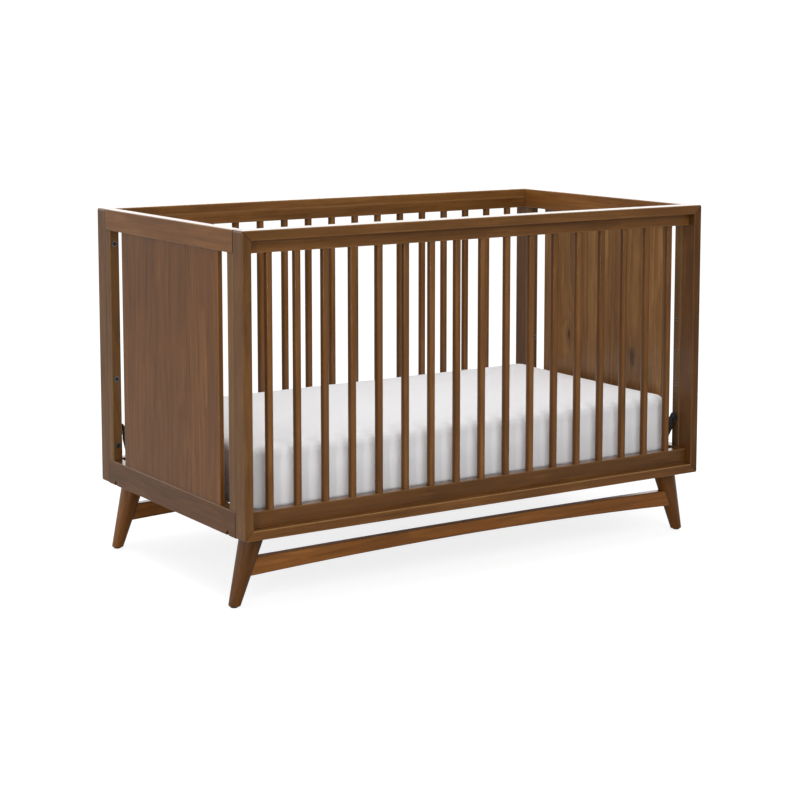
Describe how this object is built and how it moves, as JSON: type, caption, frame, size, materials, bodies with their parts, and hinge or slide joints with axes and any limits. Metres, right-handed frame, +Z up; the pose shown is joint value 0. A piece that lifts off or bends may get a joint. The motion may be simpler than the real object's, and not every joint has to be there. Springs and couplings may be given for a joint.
{
  "type": "baby crib",
  "caption": "Baby crib with round-slat sides in mitred frames, solid-panel ends, splayed legs with stretchers and a height-adjustable mattress.",
  "frame": {"origin": "on the floor under the middle of the crib", "axes": "+X along the crib from the left end to the right end, +Y across it from the front side to the rear side, +Z up"},
  "size_m": [1.4116, 0.8, 0.904],
  "materials": {
    "walnut_stain": "satin walnut stain over solid wood",
    "walnut_stain_legs": "satin walnut stain, turned and shaped wood",
    "plain_block_wood": "stained block, unseen from above",
    "beech_dowel": "unfinished fluted dowel",
    "black_steel": "black powder coat",
    "zinc_steel": "zinc plated",
    "glide_plastic": "moulded nylon",
    "mattress_cover": "white woven cover"
  },
  "bodies": {
    "crib_frame": {"corner_block_dowels": "beech_dowel", "corner_blocks": "plain_block_wood", "foot_glides": "glide_plastic", "front_bottom_member": "walnut_stain", "front_bottom_slat_rail": "walnut_stain", "front_left_leg": "walnut_stain_legs", "front_left_stile": "walnut_stain", "front_right_leg": "walnut_stain_legs", "front_right_stile": "walnut_stain", "front_slats": "walnut_stain", "front_stretcher": "walnut_stain_legs", "front_top_member": "walnut_stain", "front_top_slat_rail": "walnut_stain", "hanger_bolts": "black_steel", "left_bottom_rail": "walnut_stain", "left_front_post": "walnut_stain", "left_panel": "walnut_stain", "left_rear_post": "walnut_stain", "left_top_rail": "walnut_stain", "leg_bolts": "zinc_steel", "leg_inserts": "zinc_steel", "level_inserts": "zinc_steel", "mitre_splines": "beech_dowel", "post_dowels": "beech_dowel", "rear_bottom_member": "walnut_stain", "rear_bottom_slat_rail": "walnut_stain", "rear_left_leg": "walnut_stain_legs", "rear_left_stile": "walnut_stain", "rear_right_leg": "walnut_stain_legs", "rear_right_stile": "walnut_stain", "rear_slats": "walnut_stain", "rear_stretcher": "walnut_stain_legs", "rear_top_member": "walnut_stain", "rear_top_slat_rail": "walnut_stain", "right_bottom_rail": "walnut_stain", "right_front_post": "walnut_stain", "right_panel": "walnut_stain", "right_rear_post": "walnut_stain", "right_top_rail": "walnut_stain", "side_bolt_inserts": "zinc_steel", "side_bolt_washers": "zinc_steel", "side_bolts": "black_steel", "slat_rail_dowels": "beech_dowel", "stretcher_dowels": "beech_dowel"},
    "mattress_support": {"deck_cross_wires": "black_steel", "deck_long_wires": "black_steel", "front_left_hanger": "black_steel", "front_right_hanger": "black_steel", "hanger_rivets": "black_steel", "rear_left_hanger": "black_steel", "rear_right_hanger": "black_steel", "support_front_angle": "black_steel", "support_left_angle": "black_steel", "support_rear_angle": "black_steel", "support_right_angle": "black_steel"},
    "mattress_block": {"mattress": "mattress_cover"}
  },
  "joints": [
    {"name": "support_height", "type": "slide", "parent": "crib_frame", "child": "mattress_support", "axis": [0, 0, 1], "range_m": [0, 0.2685]},
    {"name": "mattress_lift_out", "type": "slide", "parent": "mattress_support", "child": "mattress_block", "axis": [0, 0, 1], "range_m": [0, 0.68]}
  ]
}
